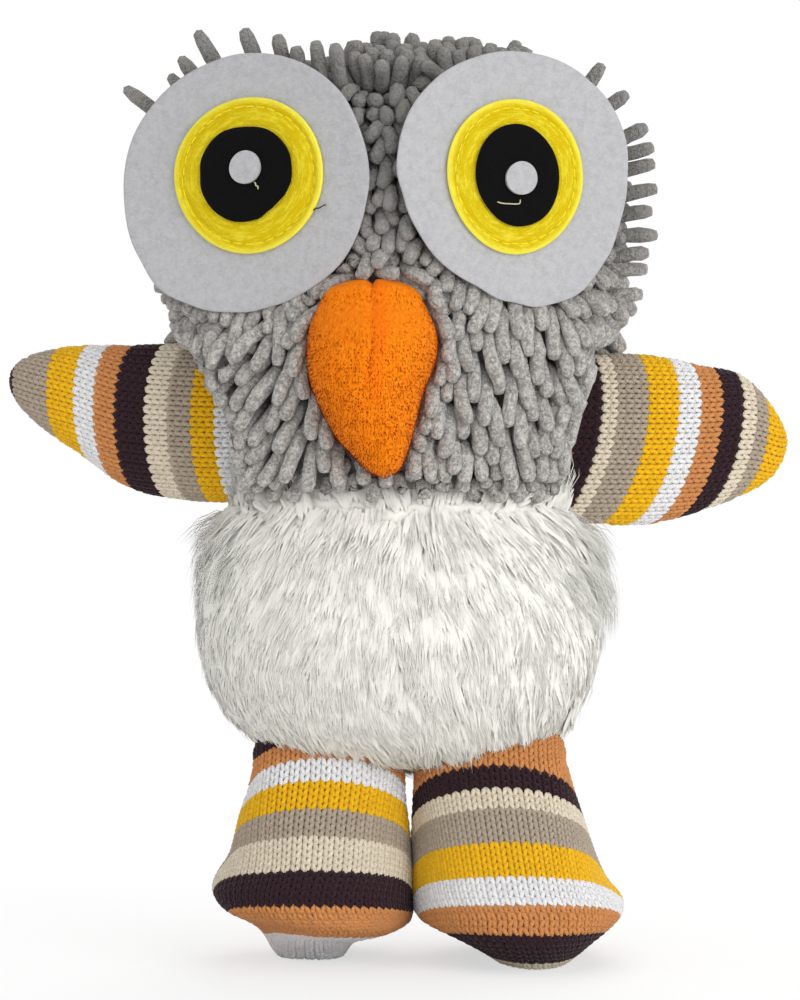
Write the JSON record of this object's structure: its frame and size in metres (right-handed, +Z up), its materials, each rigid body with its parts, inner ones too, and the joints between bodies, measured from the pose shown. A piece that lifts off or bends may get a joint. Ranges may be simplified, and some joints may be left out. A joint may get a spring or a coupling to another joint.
{
  "type": "plush owl",
  "caption": "Soft toy owl that stands on padded feet, with a noodle pile head, felt disc eyes, stuffed beak, fur body and hinged striped knit wings.",
  "frame": {"origin": "centre of the outline on the floor that the soles stand on", "axes": "+Z up, -Y out of the face, +X to the right of somebody who faces the owl"},
  "size_m": [0.252, 0.1294, 0.2902],
  "materials": {
    "grey_noodle_pile": "thick chenille noodles on a woven backing",
    "white_fur": "long combed fur fabric",
    "grey_felt": "pressed felt",
    "yellow_felt": "pressed felt",
    "black_felt": "pressed felt",
    "yellow_thread": "sewing thread",
    "orange_plush": "short pile plush",
    "striped_knit": "stockinette knit in six yarn colours",
    "fibre_fill": "loose polyester fibre filling"
  },
  "bodies": {
    "trunk": {"body_front_panel": "white_fur", "body_back_panel": "white_fur", "body_stuffing": "fibre_fill", "head_front_panel": "grey_noodle_pile", "head_back_panel": "grey_noodle_pile", "head_stuffing": "fibre_fill", "left_eye_disc": "grey_felt", "left_eye_iris": "yellow_felt", "left_eye_pupil": "black_felt", "left_eye_highlight": "grey_felt", "left_eye_stitching": "yellow_thread", "right_eye_disc": "grey_felt", "right_eye_iris": "yellow_felt", "right_eye_pupil": "black_felt", "right_eye_highlight": "grey_felt", "right_eye_stitching": "yellow_thread"},
    "left_wing": {"left_wing_front_panel": "striped_knit", "left_wing_back_panel": "striped_knit", "left_wing_stuffing": "fibre_fill"},
    "right_wing": {"right_wing_front_panel": "striped_knit", "right_wing_back_panel": "striped_knit", "right_wing_stuffing": "fibre_fill"},
    "left_foot": {"left_foot_upper_panel": "striped_knit", "left_foot_sole_panel": "striped_knit", "left_foot_stuffing": "fibre_fill"},
    "right_foot": {"right_foot_upper_panel": "striped_knit", "right_foot_sole_panel": "striped_knit", "right_foot_stuffing": "fibre_fill"},
    "beak": {"beak_left_panel": "orange_plush", "beak_right_panel": "orange_plush", "beak_stuffing": "fibre_fill"}
  },
  "joints": [
    {"name": "left_wing_seam", "type": "hinge", "parent": "trunk", "child": "left_wing", "pos_m": [-0.05137, 0.00511, 0.167], "axis": [0, 0, 1], "range_deg": [-30, 55], "stiffness_Nm_per_rad": 0.04},
    {"name": "right_wing_seam", "type": "hinge", "parent": "trunk", "child": "right_wing", "pos_m": [0.05138, 0.00511, 0.162], "axis": [0, 0, -1], "range_deg": [-30, 55], "stiffness_Nm_per_rad": 0.04},
    {"name": "left_foot_seam", "type": "hinge", "parent": "trunk", "child": "left_foot", "pos_m": [-0.02739, -0.0029, 0.062], "axis": [-1, 0, 0], "range_deg": [-12, 35], "stiffness_Nm_per_rad": 2},
    {"name": "right_foot_seam", "type": "hinge", "parent": "trunk", "child": "right_foot", "pos_m": [0.03601, -0.0029, 0.062], "axis": [-1, 0, 0], "range_deg": [-12, 35], "stiffness_Nm_per_rad": 2},
    {"name": "beak_seam", "type": "hinge", "parent": "trunk", "child": "beak", "pos_m": [-0.00729, -0.04349, 0.2015], "axis": [-1, 0, 0], "range_deg": [0, 30], "stiffness_Nm_per_rad": 0.04}
  ]
}
